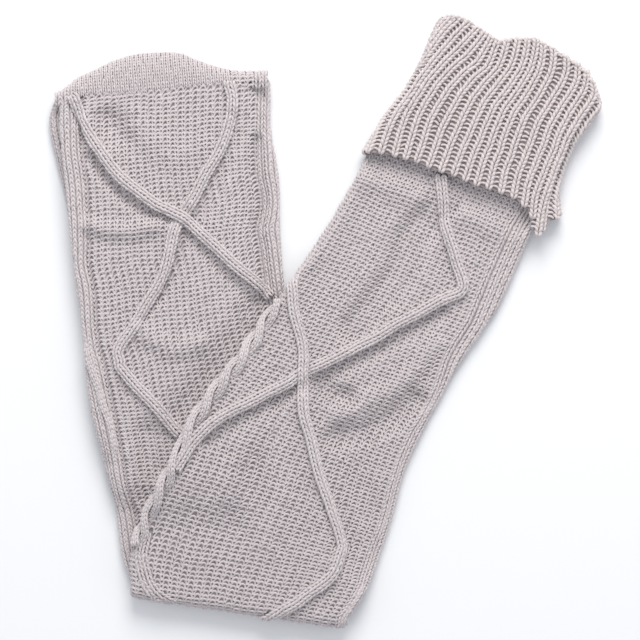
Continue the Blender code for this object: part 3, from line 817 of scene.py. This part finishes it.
class Yarn:
    """Strands of yarn, gathered for one piece of the sock."""

    def __init__(self, seed):
        self.random = np.random.default_rng(seed)
        self.parts = []

    def add(self, paths, normals, radii):
        """Strands, all with as many points."""
        if len(paths):
            self.parts.append((paths, normals, radii, self.random.normal(0, 1, len(paths))))

    def wale(self, guide, wide=RIB_WALE, aside=0.0, course=COURSE, yarn=KNIT_YARN, deep=1.5, turned=1,
             sink=0.85, points=6):
        """A smooth column along a guide: the two slanting legs of each of its stitches."""
        marks = np.repeat(even_marks(guide, course), 2)
        side = np.tile([-1.0, 1.0], len(marks) // 2)
        q = np.linspace(0, 1, points)
        rough = self.random.normal(0, 1, (len(marks), 4))
        x = aside + side[:, None] * wide * (0.09 + 0.30 * q**0.9) + 0.06 * rough[:, :1]
        y = marks[:, None] + turned * course * (-0.82 + 1.64 * q) + 0.12 * rough[:, 1:2]
        lift = -sink - deep * (1.7 * q - 0.85) ** 2 + 0.12 * rough[:, 2:3]
        place, normal = guide.at(y, x, np.broadcast_to(lift, y.shape))
        thick = yarn * (0.72 + 0.28 * np.sin(math.pi * q)) * (1 + 0.06 * rough[:, 3:4])
        self.add(place, normal, np.broadcast_to(thick, y.shape))

    def bumps(self, guide, marks, wide, yarn):
        """The short bumps across a sunken wale, which shows the rough side of the cloth."""
        q = np.linspace(-1, 1, 5)
        rough = self.random.normal(0, 1, (len(marks), 4))
        x = wide / 2 * q + 0.15 * rough[:, :1]
        y = marks[:, None] + 0.12 * rough[:, 1:2] + 0.35 * q * rough[:, 2:3] + 0.4 * (1 - q * q)
        lift = 0.15 * rough[:, 3:4] - 0.45 * q * q
        place, normal = guide.at(y, x, lift)
        self.add(place, normal, np.broadcast_to(yarn, y.shape))

    def purl(self, cloth, run, column, wale_columns, heads, lean):
        """Whole loops, as they show on the rough side of the cloth, at the given places along and round it.

        Their heads point up the rows where heads is 1, and down them where it is -1. lean is how far a head
        stands aside from the stitch's middle, as a share of the wale.
        """
        tau = math.pi * np.linspace(-1, 1, 9)
        rough = self.random.normal(0, 1, (len(run), 4))
        across = tau / (2 * math.pi) + 0.095 * np.sin(tau) + 0.03 * np.sin(2 * tau) + lean * np.cos(tau)
        up = heads * LOOP_HALF * np.cos(tau)[None] + 0.16 * rough[:, :1] * np.cos(tau / 2)[None]
        wave = 0.35 * np.sin(0.23 * column + 0.05 * run) + 0.25 * np.sin(0.41 * column - 0.09 * run + 2.0)
        rows = cloth.row_at((run + wave)[:, None] + up)
        columns = column[:, None] + wale_columns[:, None] * (across[None] + 0.025 * rough[:, 3:4])
        place, normal = cloth.at(rows, columns)
        lift = -0.85 + 0.32 * (np.cos(2 * tau) - 1)[None] + 0.15 * np.cos(tau)[None] + 0.12 * rough[:, 1:2]
        place = place + normal * np.broadcast_to(lift, rows.shape)[..., None]
        thick = PURL_YARN * (1 + 0.07 * rough[:, 2:3]) * np.ones((1, len(tau)))
        self.add(place, normal, thick)

    def build(self, name, material, slot):
        """Mesh objects of all the strands, each of at most QUADS_A_PIECE quads."""
        points, faces, tones = zip(*(tube_mesh(*part) for part in self.parts), strict=True)
        starts = np.cumsum([0] + [len(part) for part in points[:-1]])
        points = np.concatenate(points)
        faces = np.concatenate([part + start for part, start in zip(faces, starts, strict=True)])
        tones = np.concatenate(tones)
        pieces = []
        for first in range(0, len(faces), QUADS_A_PIECE):
            used, quads = np.unique(faces[first:first + QUADS_A_PIECE], return_inverse=True)
            number = len(pieces) + 1
            piece = mesh_object(f"{name}_{number}", points[used], quads.reshape(-1, 4), material, tones[used])
            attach(piece, "root")
            pieces.append(piece)
        return pieces


def tube_mesh(paths, normals, radii, tones):
    """(points, faces, tones) of tubes along the paths. Their undersides, on the cloth, are left open."""
    sides = YARN_SIDES
    count, length = paths.shape[:2]
    along = unit(np.gradient(paths, axis=1))
    aside = unit(np.cross(along, normals))
    up = np.cross(aside, along)
    angle = 2 * math.pi * (np.arange(sides) + 0.5) / sides - math.pi / 2
    ring = (
        paths[:, :, None]
        + radii[..., None, None] * (
            np.cos(angle)[:, None] * aside[:, :, None] + np.sin(angle)[:, None] * up[:, :, None]
        )
    )
    base = (np.arange(count)[:, None, None] * length + np.arange(length - 1)[None, :, None]) * sides
    k = base + np.arange(sides - 1)
    faces = np.stack([k, k + sides, k + sides + 1, k + 1], axis=-1).reshape(-1, 4)
    return ring.reshape(-1, 3), faces, np.repeat(tones, length * sides)


def mesh_object(name, points, faces, material, tones=None):
    """A smooth mesh object in metres."""
    points = np.stack([points[:, 0], points[:, 1], np.maximum(points[:, 2], 0)], axis=1)
    mesh = bpy.data.meshes.new(name)
    mesh.vertices.add(len(points))
    mesh.vertices.foreach_set("co", ((points - MIDDLE) * MM).astype(np.float32).ravel())
    mesh.loops.add(faces.size)
    mesh.loops.foreach_set("vertex_index", faces.astype(np.int32).ravel())
    mesh.polygons.add(len(faces))
    mesh.polygons.foreach_set("loop_start", np.arange(len(faces), dtype=np.int32) * faces.shape[1])
    mesh.update(calc_edges=True)
    mesh.shade_smooth()
    if tones is not None:
        tone = mesh.attributes.new("tone", "FLOAT", "POINT")
        tone.data.foreach_set("value", tones.astype(np.float32))
    mesh.materials.append(material)
    piece = bpy.data.objects.new(name, mesh)
    bpy.context.scene.collection.objects.link(piece)
    return piece


def grid_faces(rows, columns, wraps):
    """Quads of a grid."""
    i = np.arange(rows - 1)[:, None]
    j = np.arange(columns if wraps else columns - 1)[None]
    after = (j + 1) % columns
    quads = np.stack(np.broadcast_arrays(
        i * columns + j, (i + 1) * columns + j, (i + 1) * columns + after, i * columns + after
    ), axis=-1)
    return quads.reshape(-1, 4)


def shell(name, cloth, depth, material, nodes):
    """The thin cloth under the yarn. It stands for the solids, and its darker material is painted shade
    between the stitches.
    """
    points = cloth.points - cloth.normals * np.reshape(depth, (-1, 1, 1))
    faces = grid_faces(cloth.rows, cloth.columns, cloth.wraps)
    a, b, c = (points.reshape(-1, 3)[faces[:, k]] for k in (0, 1, 2))
    facing = np.cross(b - a, c - a)
    if (facing * cloth.normals.reshape(-1, 3)[faces[:, 0]]).sum() < 0:
        faces = faces[:, ::-1]
    piece = mesh_object(name, points.reshape(-1, 3), faces, material)
    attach(piece, "root")
    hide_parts(*nodes)
    return piece


def set_inputs(node, values):
    """Sets a node's inputs, by their names or numbers."""
    for name, value in values.items():
        node.inputs[name].default_value = value


def wool(name, colour):
    """Soft woollen yarn, a little uneven in tone."""
    material = bpy.data.materials.new(name)
    material.use_nodes = True
    tree = material.node_tree
    shader = tree.nodes["Principled BSDF"]
    place, noise, tone, scaled, ramp, mix, raised = (
        tree.nodes.new("ShaderNode" + kind)
        for kind in ("TexCoord", "TexNoise", "Attribute", "Math", "MapRange", "Mix", "Bump")
    )
    tone.attribute_name = "tone"
    scaled.operation = "MULTIPLY_ADD"
    mix.data_type = "RGBA"
    set_inputs(shader, WOOL_SURFACE)
    set_inputs(noise, {"Scale": 900.0, "Detail": 3.0})
    set_inputs(scaled, {1: 0.05})
    set_inputs(ramp, {"From Min": 0.25, "From Max": 0.75})
    set_inputs(mix, {"A": (*(c * WOOL_DARKEST for c in colour), 1), "B": (*colour, 1)})
    set_inputs(raised, {"Strength": 0.25, "Distance": 0.0004})
    for source, output, target, entry in (
        (place, "Object", noise, "Vector"),
        (tone, "Fac", scaled, 0),
        (noise, "Fac", scaled, 2),
        (scaled, "Value", ramp, "Value"),
        (ramp, "Result", mix, "Factor"),
        (mix, "Result", shader, "Base Color"),
        (noise, "Fac", raised, "Height"),
        (raised, "Normal", shader, "Normal"),
    ):
        tree.links.new(source.outputs[output], target.inputs[entry])
    return material


def clear_of(points, guides, clear):
    """Which points lie clear of all the guides' middle lines."""
    keep = np.ones(len(points), bool)
    for guide in guides:
        line = guide.points[::2]
        for first in range(0, len(points), POINTS_AT_ONCE):
            part = slice(first, first + POINTS_AT_ONCE)
            gap = np.linalg.norm(points[part, None] - line[None], axis=2).min(axis=1)
            keep[part] &= gap > clear
    return keep


def lay_under(guide, over, depth=2.0, reach=9.0):
    """Lowers a guide where another one crosses over it."""
    gap = np.linalg.norm(guide.points[:, None] - over.points[None], axis=2).min(axis=1)
    guide.high = guide.high - depth * (1 - smooth_step(3.0, reach, gap))


def sink_ends(guide, depth=2.6, reach=13.0):
    """Lets both ends of a guide go down into the cloth."""
    from_end = np.minimum(guide.marks, guide.marks[-1] - guide.marks)
    guide.high = guide.high - depth * (1 - smooth_step(0.0, reach, from_end))


def even_marks(guide, course, first=1.0):
    """Where the courses of a column along the guide lie."""
    return np.arange(guide.marks[0] + first, guide.marks[-1], course)


class Band:
    """The knit columns beside a groove near one edge of a strip."""

    def __init__(self, cloth, groove, from_left, inner, outer, from_row=None, to_row=None):
        self.from_left = from_left
        places = places_on(cloth, groove)
        rows = places[:, 0]
        reach = self.from_edge(places[:, 1] / cloth.columns) * cloth.length_round(rows)
        order = np.argsort(rows)
        self.cloth = cloth
        self.inner = inner
        first_row = rows.min() if from_row is None else from_row
        last_row = rows.max() if to_row is None else to_row
        self.rows = np.arange(first_row, last_row, BAND_ROW_STEP)
        self.reach = np.interp(self.rows, rows[order], reach[order])
        self.guides = [self.column(number + 0.5) for number in range(-outer, inner)]
        in_groove = self.column(0.0)
        in_groove.high = -IN_GROOVE_SUNK
        self.guides.append(in_groove)

    def from_edge(self, share):
        """A share of the way round, turned from the left edge to the band's own edge or back."""
        return share if self.from_left else 0.5 - share

    def column_in(self, row, number, reach):
        """The grid column that lies so many of the band's columns inside the groove."""
        share = (reach + number * RIB_WALE) / self.cloth.length_round(row)
        return self.from_edge(share) * self.cloth.columns

    def column(self, number):
        """The guide of a column, by how many columns it lies inside the groove.

        Its marks are millimetres along the strip, so that its courses line up with its neighbours'.
        """
        columns = self.column_in(self.rows, number, self.reach)
        return column_guide(self.cloth, self.rows, columns, marks=self.cloth.run_at(self.rows))

    def edge(self, row):
        """The grid column where the band ends and the rough side begins."""
        return self.column_in(row, self.inner, np.interp(row, self.rows, self.reach))


def purl_places(cloth, left, right, first, last):
    """(run, column, columns to a wale) of every rough stitch between two edges of a strip.

    left and right give the edge's grid column at a row, and the stitches keep their number on the way along.
    """
    runs = np.arange(first, last, COURSE)
    rows = cloth.row_at(runs)
    span = (right(rows) - left(rows)) / cloth.columns * cloth.length_round(rows)
    count = int(round(span.mean() / WALE))
    each = (right(rows) - left(rows)) / count
    column = left(rows)[:, None] + (np.arange(count) + 0.5)[None] * each[:, None]
    run = np.broadcast_to(runs[:, None], column.shape)
    each = np.broadcast_to(each[:, None], column.shape)
    return run.ravel(), column.ravel(), each.ravel()


def rope_plies(axis, lobe_marks):
    """Guides of the two plies that are twisted about the rope's middle line."""
    marks = np.linspace(0, axis.marks[-1], int(axis.marks[-1] / GUIDE_STEP))
    phase = math.pi * np.interp(marks, lobe_marks, np.arange(len(lobe_marks)))
    across_axis = unit(values_at(marks, axis.marks, axis.across))
    plies = []
    for turn in (phase, phase + math.pi):
        aside = -ROPE_HALF_TWIST * np.sin(turn)
        place, normal = axis.at(marks, aside, ROPE_MIDDLE_HIGH + ROPE_SWELL * np.cos(turn))
        along = unit(np.gradient(place, axis=0))
        out = unit(normal + across_axis * (ROPE_TILT * aside)[:, None])
        plies.append(Guide(place, unit(np.cross(along, out)), out, bend=PLY_BEND, high=PLY_HIGH))
    return plies


def column_guide(cloth, rows, columns, **options):
    """A guide through the places at these rows and columns of the cloth."""
    return guide_on(cloth, np.stack([rows, columns], axis=1), **options)


def rib_guide(cloth, places):
    """The guide of a travelling rib."""
    return guide_on(cloth, places, wander=RIB_WANDER, bend=RIB_BEND, high=RIB_HIGH)


def knit_pairs(knit, guides, wide, yarn, turned=1):
    """Two smooth columns side by side along each guide."""
    for guide in guides:
        for aside in (-wide / 2, wide / 2):
            knit.wale(guide, wide, aside, yarn=yarn, turned=turned)


def build_both(part, knit, wool_knit, purl, wool_purl):
    """The mesh pieces of a part's smooth stitches and of its rough ones."""
    return (
        knit.build(part + "_knit", wool_knit, "plain_knit")
        + purl.build(part + "_purl", wool_purl, "purl_knit")
    )


def knit_upper_leg(upper, wool_knit, wool_purl):
    """The yarn of the upper leg."""
    knit = Yarn(11)
    first = rib_guide(upper, places_on(upper, UPPER_RIBS[0]))
    places = places_on(upper, UPPER_RIBS[1])
    ahead = unit(places[-1] - places[-4])
    over_fold = places[-1] + ahead * np.arange(1, FOLD_STEPS + 2)[:, None]
    second = rib_guide(upper, np.concatenate([places, over_fold]))
    lay_under(first, second)
    sink_ends(second, reach=8.0)
    ribs = [first, second]
    knit_pairs(knit, ribs, RAISED_WALE, RAISED_YARN)

    band = Band(upper, UPPER_RIGHT_GROOVE, False, 1, 5, to_row=upper.rows - SHORT_OF_END)
    for guide in band.guides:
        knit.wale(guide)

    lobes = np.array([upper.locate(x, y) for x, y in ROPE_LOBES])
    axis = guide_on(upper, smooth_line(lobes, 1.0))
    lobe_points = upper.at(lobes[:, 0], lobes[:, 1])[0]
    lobe_marks = [axis.marks[np.argmin(np.linalg.norm(axis.points - p, axis=1))] for p in lobe_points]
    knit_pairs(knit, rope_plies(axis, lobe_marks), ROPE_WALE, ROPE_YARN)
    below = [guide_on(upper, places_on(upper, line), high=0.4) for line in BELOW_ROPE]
    for guide in below:
        knit.wale(guide)

    def past_left(row):
        return -WALES_ROUND_LEFT_EDGE * WALE / upper.length_round(row) * upper.columns

    purl = Yarn(12)
    run, column, each = purl_places(upper, past_left, band.edge, 1.0, upper.run[-1] - 1.5)
    place = upper.at(upper.row_at(run), column)[0]
    keep = past_hem(place[:, 0], place[:, 1]) < PURL_INTO_CUFF
    keep &= clear_of(place, ribs, CLEAR_OF_RIB)
    keep &= clear_of(place, [axis], CLEAR_OF_ROPE)
    keep &= clear_of(place, below, CLEAR_OF_COLUMN)
    purl.purl(upper, run[keep], column[keep], each[keep], -1, UPPER_LEAN)
    return build_both("upper_leg", knit, wool_knit, purl, wool_purl)


def knit_lower_leg(lower, wool_knit, wool_purl):
    """The yarn of the lower leg."""
    knit = Yarn(21)
    over, under = (rib_guide(lower, places_on(lower, line)) for line in LOWER_RIBS)
    lay_under(under, over)
    knit_pairs(knit, (over, under), RAISED_WALE, RAISED_YARN, turned=-1)
    left = Band(lower, LOWER_LEFT_GROOVE, True, 0, 6, from_row=0.0, to_row=lower.rows - SHORT_OF_END)
    right = Band(lower, LOWER_RIGHT_GROOVE, False, 0, 5, to_row=lower.rows - SHORT_OF_END)
    for guide in left.guides + right.guides:
        knit.wale(guide)
    for line in EDGE_CROSSINGS:
        guide = guide_on(lower, places_on(lower, line), bend=PLY_BEND, high=CROSSING_HIGH)
        sink_ends(guide)
        knit_pairs(knit, [guide], CROSSING_WALE, CROSSING_YARN, turned=-1)

    purl = Yarn(22)
    run, column, each = purl_places(lower, left.edge, right.edge, 1.0, lower.run[-1] - 0.5)
    place = lower.at(lower.row_at(run), column)[0]
    fine = between_rows(UPPER_LEG, np.linspace(len(UPPER_LEG) - 1, 2, 300))
    covered_from = np.interp(place[:, 1], fine[:, 1], fine[:, 0])
    keep = (place[:, 0] < covered_from + PURL_UNDER_LEG) | (place[:, 1] > UNCOVERED_FROM_Y)
    keep &= clear_of(place, [over, under], CLEAR_OF_RIB)
    start_x, start_y = np.array(HEEL_START).T
    keep &= (place[:, 1] < np.interp(place[:, 0], start_x, start_y) + 0.5) | (place[:, 0] > start_x[-1])
    purl.purl(lower, run[keep], column[keep], each[keep], 1, LOWER_LEAN)
    return build_both("lower_leg", knit, wool_knit, purl, wool_purl)


def heel_cloths(heel):
    """(left end, middle, right end) of the heel, each starting a little way down the leg."""
    start_x, start_y = np.array(HEEL_START).T
    first = heel.points[0]
    begin = np.interp(first[:, 0], start_x, start_y)
    shares = np.linspace(0, 1, heel.columns)
    in_middle = (shares >= HEEL_FINE[0]) & (shares <= HEEL_FINE[1])
    back = np.where(in_middle, np.maximum(first[:, 1] - begin, HEEL_LEAST_OVERLAP), HEEL_OVERLAP)
    on_leg = np.array([
        first + np.outer(back * part, (0, -1, 0)) + (0, 0, HEEL_START_HIGH - HEEL_OVERLAP_SUNK * part)
        for part in (1, 0.8, 0.6, 0.4, 0.2)
    ])
    points = np.concatenate([on_leg, heel.points])
    cuts = [int(round(share * (heel.columns - 1))) for share in (0, *HEEL_FINE, 1)]
    return [
        Cloth(points[:, first:last + 1], wraps=False)
        for first, last in zip(cuts[:-1], cuts[1:], strict=True)
    ]


def columns_over(knit, cloth, first, last, wide=RIB_WALE, **options):
    """Smooth columns along a patch of cloth, between two shares of the way across it."""
    count = max(1, int(round((last - first) * cloth.round[5] / wide)))
    rows = np.arange(0, cloth.rows - 1, 0.5)
    for number in range(count):
        share = first + (last - first) * (number + 0.5) / count
        columns = np.full(rows.shape, share * (cloth.columns - 1))
        knit.wale(column_guide(cloth, rows, columns), wide, **options)


def knit_heel(heel, wool_knit, wool_purl):
    """The yarn of the heel: fine plain knit, and at both ends the leg's own columns going on."""
    left, middle, right = heel_cloths(heel)
    fine = Yarn(31)
    columns_over(fine, left, 0, 1)
    columns_over(fine, middle, 0, 1, HEEL_WALE, **HEEL_STITCH)
    columns_over(fine, right, HEEL_PURL_SHARE, 1)

    rough = Yarn(32)
    wales = int(round(HEEL_PURL_SHARE * right.round[5] / WALE))
    each = HEEL_PURL_SHARE * (right.columns - 1) / wales
    runs = np.arange(0.8, right.run[-1], COURSE)
    run, column = (v.ravel() for v in np.meshgrid(runs, (np.arange(wales) + 0.5) * each, indexing="ij"))
    rough.purl(right, run, column, np.full(run.shape, each), 1, LOWER_LEAN)
    return build_both("heel", fine, wool_knit, rough, wool_purl)


def knit_foot(foot, wool_knit):
    """The plain columns that show along the foot's left edge."""
    knit = Yarn(51)
    rows = np.arange(0.0, foot.rows - SHORT_OF_END, 1.0)
    for number in range(-3, 5):
        share = (number + 0.5) * RIB_WALE / foot.length_round(rows)
        knit.wale(column_guide(foot, rows, share * foot.columns), points=5)
    return knit.build("foot_knit", wool_knit, "plain_knit")


def cuff_column(cuff, shares, number, high, first_row=0, last_row=CUFF_LAST_ROW):
    """The guide of one of the cuff's wales. Those numbered past the sides run on round the back."""
    lines = np.array(CUFF_LINES)
    rows = np.arange(first_row, last_row, 0.5)
    anchors = values_at(np.clip(rows / CUFF_TOP_ROW, 0, 1), lines[:, 0], lines[:, 1:])
    half = cuff.columns // 2
    numbers = np.array(CUFF_LINE_NUMBERS) + 0.5
    columns = np.empty(len(rows))
    for k, (row, anchor) in enumerate(zip(rows, anchors, strict=True)):
        share = np.interp(number, numbers, anchor)
        share += (min(number - numbers[0], 0) + max(number - numbers[-1], 0)) * CUFF_WALE_SHARE
        here = shares[min(int(round(row)), len(shares) - 1)][:half + 1]
        columns[k] = np.interp(share, here, np.arange(half + 1))
        columns[k] += (min(share, 0) + max(share - 1, 0)) * half
    return column_guide(cuff, rows, columns, high=high)


def knit_cuff(cuff, shares, wool_rib):
    """The yarn of the cuff: raised plain wales with sunken ones between them."""
    knit = Yarn(41)

    def raise_wale(number, **rows):
        guide = cuff_column(cuff, shares, number, 0.0, **rows)
        knit.wale(guide, CUFF_RAISED_WALE, yarn=CUFF_RAISED_YARN, deep=CUFF_RAISED_DEEP)

    for number in range(CUFF_LAST_WALE + 1):
        raise_wale(number)
        if number < CUFF_LAST_WALE:
            sunken = cuff_column(cuff, shares, number + 0.5, -CUFF_SUNK)
            knit.bumps(sunken, even_marks(sunken, COURSE, 2.0)[:-1], CUFF_BUMP_WIDE, CUFF_BUMP_YARN)
    in_slot = cuff_column(cuff, shares, CUFF_SLOT_WALE, -CUFF_SLOT_SUNK, last_row=CUFF_SLOT_ROWS)
    knit.wale(in_slot, CUFF_BUMP_WIDE)
    half_steps = np.arange(1, 2 * CUFF_WALES_BEHIND + 1) / 2
    for number in np.concatenate([-half_steps, CUFF_LAST_WALE + half_steps]):
        raise_wale(number, last_row=CUFF_BEHIND_LAST_ROW)
    first_at_back = CUFF_LAST_WALE + CUFF_WALES_BEHIND + CUFF_LIP_WALE_STEP
    for number in np.arange(first_at_back, CUFF_WALES_ROUND - CUFF_WALES_BEHIND, CUFF_LIP_WALE_STEP):
        raise_wale(number, first_row=CUFF_LIP_FIRST_ROW)
    return knit.build("cuff_knit", wool_rib, "rib_knit")


def set_stage():
    """The floor, the lights and the camera."""
    bpy.ops.mesh.primitive_plane_add(size=6.0, location=(0, 0, -0.0002))
    floor = bpy.context.object
    floor.name = "floor"
    paper = bpy.data.materials.new("paper")
    paper.use_nodes = True
    surface = paper.node_tree.nodes["Principled BSDF"]
    set_inputs(surface, {"Base Color": FLOOR_COLOUR, "Roughness": 0.9})
    floor.data.materials.append(paper)

    scene = bpy.context.scene
    scene.view_settings.view_transform = "Standard"
    key = bpy.data.lights.new("key", "AREA")
    key.shape = "DISK"
    key.size = KEY_SIZE
    key.energy = KEY_POWER
    key.color = KEY_COLOUR
    key_lamp = bpy.data.objects.new("key", key)
    key_lamp.location = KEY_PLACE
    scene.collection.objects.link(key_lamp)
    key_lamp.rotation_euler = (-Vector(KEY_PLACE)).to_track_quat("-Z", "Y").to_euler()
    world = bpy.data.worlds.new("room")
    scene.world = world
    world.use_nodes = True
    set_inputs(world.node_tree.nodes["Background"], {"Color": ROOM_COLOUR, "Strength": ROOM_LIGHT})

    camera = bpy.data.cameras.new("camera")
    camera.lens = CAMERA_LENS
    camera.sensor_width = 36
    camera_object = bpy.data.objects.new("camera", camera)
    camera_object.location = (CAMERA_OVER[0], CAMERA_OVER[1], CAMERA_HEIGHT)
    scene.collection.objects.link(camera_object)
    scene.camera = camera_object


def main():
    """Dresses the sock in its yarn and sets the stage."""
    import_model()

    wool_purl = wool("wool_purl", (0.62, 0.56, 0.567))
    wool_knit = wool("wool_knit", (0.65, 0.588, 0.592))
    wool_rib = wool("wool_ribbed", (0.688, 0.615, 0.611))
    # The shells' colours are darker than the yarn's: painted shade in the gaps between the stitches, and in
    # the cuff's hollows and mouth.
    shell_painted_shade = wool("wool_shell_painted_shade", (0.38, 0.34, 0.347))
    cuff_shell_painted_shade = wool("wool_cuff_shell_painted_shade", (0.35, 0.3, 0.3))

    upper = upper_cloth()
    lower = lower_cloth()
    heel = heel_cloth()
    foot = foot_cloth()
    cuff, cuff_shares = cuff_cloth()

    upper_yarn = knit_upper_leg(upper, wool_knit, wool_purl)
    lower_yarn = knit_lower_leg(lower, wool_knit, wool_purl)
    heel_yarn = knit_heel(heel, wool_knit, wool_purl)
    foot_yarn = knit_foot(foot, wool_knit)
    cuff_yarn = knit_cuff(cuff, cuff_shares, wool_rib)
    cuff_depth = np.interp(np.arange(cuff.rows), *np.array(CUFF_SHELL).T)
    dressed = (
        ("upper_leg", upper, SHELL_DEPTH, ["upper_leg"], "purl_knit", shell_painted_shade, upper_yarn),
        ("lower_leg", lower, SHELL_DEPTH, ["lower_leg"], "purl_knit", shell_painted_shade, lower_yarn),
        ("heel", heel, THIN_SHELL_DEPTH, ["heel"], "plain_knit", shell_painted_shade, heel_yarn),
        ("foot", foot, THIN_SHELL_DEPTH, ["foot", "toe"], "plain_knit", shell_painted_shade, foot_yarn),
        ("cuff", cuff, cuff_depth, ["cuff"], "rib_knit", cuff_shell_painted_shade, cuff_yarn),
    )
    for name, cloth, depth, nodes, slot, material, yarn in dressed:
        piece = shell(name + "_cloth", cloth, depth, material, nodes)

    set_stage()


main()
